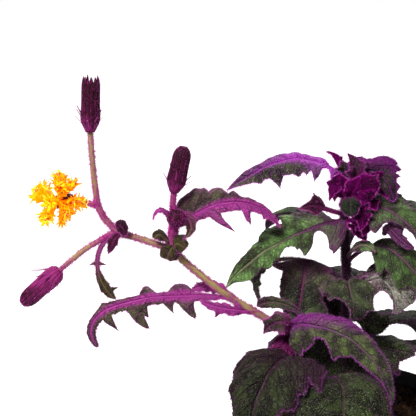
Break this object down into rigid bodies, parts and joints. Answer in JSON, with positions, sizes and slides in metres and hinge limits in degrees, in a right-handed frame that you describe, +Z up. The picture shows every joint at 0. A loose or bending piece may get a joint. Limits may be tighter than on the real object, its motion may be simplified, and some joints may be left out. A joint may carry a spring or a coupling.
{
  "type": "potted purple passion plant",
  "caption": "House plant with velvety purple and green toothed leaves, closed buds and an orange flower head, growing in a round nursery pot.",
  "frame": {"origin": "centre of the pot's flat underside, on the surface that the pot stands on", "axes": "+Z up, +X to the viewer's right and +Y away from the viewer, as the picture shows the plant; the flowering branch leans to -X"},
  "size_m": [0.1996, 0.1231, 0.2239],
  "materials": {
    "pot_plastic": "charcoal black moulded plastic, satin with a soft sheen along the rim",
    "soil": "moist peat compost, rough, with brown bark crumbs and pale grains",
    "stem_purple": "dark purple stem under a magenta velvet of fine hairs",
    "stem_olive": "olive stem with fine ribs, fringed by magenta hairs and pink at the nodes",
    "leaf_young": "deep maroon young leaf, thick magenta velvet along its edges",
    "leaf_violet": "violet velvet over grey green, magenta margin",
    "leaf_green": "mid green leaf with pale veins under a thin violet velvet",
    "leaf_frosted": "dark green leaf frosted with short pale pink hairs",
    "leaf_dark": "dark green leaf flushed maroon, with magenta veins and margin",
    "bud_maroon": "dark maroon ribbed bud, magenta fuzz",
    "petal_orange": "yellow to orange tubular florets, satin"
  },
  "bodies": {
    "root": {"pot": "pot_plastic", "soil": "soil", "main_stem": "stem_purple", "side_stem": "stem_purple", "flowering_stem": "stem_olive", "flower_florets": "petal_orange", "young_leaf_spiky": "leaf_young", "young_leaf_upright": "leaf_young", "young_leaf_broad": "leaf_young", "young_leaf_inner": "leaf_young", "young_leaf_left": "leaf_young", "young_leaf_back": "leaf_young", "young_leaf_green": "leaf_young", "ruffled_leaf_upper": "leaf_young", "ruffled_leaf_lower": "leaf_young", "crown_leaf_left": "leaf_violet", "crown_leaf_right": "leaf_violet", "curled_leaf_left": "leaf_violet", "node_leaf": "leaf_violet", "node_leaf_lower": "leaf_violet", "front_leaf": "leaf_violet", "branch_leaf_low": "leaf_violet", "branch_leaf_high": "leaf_violet", "branch_leaf_hanging": "leaf_violet", "branch_leaf_curled": "leaf_violet", "branch_leaf_small": "leaf_violet", "branch_bract": "leaf_violet", "node_auricle_low": "leaf_violet", "node_auricle_right": "leaf_violet", "node_auricle_left": "leaf_violet", "node_auricle_front": "leaf_violet", "node_auricle_back": "leaf_violet", "upper_leaf_right": "leaf_green", "green_leaf_left": "leaf_green", "lower_leaf_right": "leaf_green", "lower_leaf_lobe": "leaf_green", "shaded_leaf_upper": "leaf_green", "right_leaf_upper": "leaf_green", "back_leaf_upper_right": "leaf_green", "back_leaf_upper_left": "leaf_green", "frosted_leaf_right": "leaf_frosted", "frosted_leaf_outer": "leaf_frosted", "crescent_leaf": "leaf_dark", "centre_leaf": "leaf_dark", "centre_leaf_right": "leaf_dark", "shaded_leaf_left": "leaf_dark", "shaded_leaf_right": "leaf_dark", "shaded_leaf_low": "leaf_dark", "base_leaf_left": "leaf_dark", "base_leaf_front": "leaf_dark", "base_leaf_right": "leaf_dark", "right_leaf_lower": "leaf_dark", "back_leaf_middle": "leaf_dark", "back_leaf_low_left": "leaf_dark", "back_leaf_low_right": "leaf_dark", "bud_top": "bud_maroon", "bud_low": "bud_maroon", "bud_middle": "bud_maroon", "bud_round": "bud_maroon", "flower_cup": "bud_maroon"}
  },
  "joints": []
}
